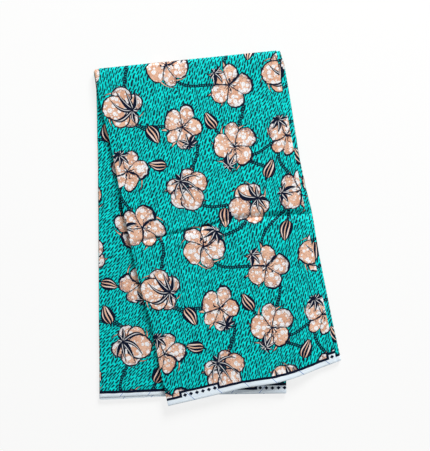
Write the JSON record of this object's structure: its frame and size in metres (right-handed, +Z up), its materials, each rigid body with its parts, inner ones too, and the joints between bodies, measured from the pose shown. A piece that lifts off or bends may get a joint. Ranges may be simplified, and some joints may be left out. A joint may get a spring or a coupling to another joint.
{
  "type": "ankara fabric",
  "caption": "Folded length of wax print cotton lying flat, the front half turned slightly over the back half, with layered folded edges.",
  "frame": {"origin": "on the surface that the bundle lies on, under the middle of its footprint", "axes": "+Y towards the top fold along the back half's straight sides, +X to the side that the front half turns to, +Z up out of the surface"},
  "size_m": [0.436, 0.6238, 0.0165],
  "materials": {
    "front_print": "wax printed cotton, smooth with a faint wax sheen: turquoise ground with navy strokes, peach blooms and white bubbles",
    "side_print": "the same wax printed cotton where folded plies step out at the side",
    "hidden_print": "the same wax printed cotton seen as a stack of folded edges and white selvedges",
    "back_print": "the same wax printed cotton on the back half, with its white selvedge"
  },
  "bodies": {
    "root": {"front_ply": "front_print", "fold_ply": "front_print", "under_ply": "front_print", "second_ply": "side_print", "third_ply": "side_print", "hidden_plies": "hidden_print", "back_ply": "back_print"}
  },
  "joints": []
}
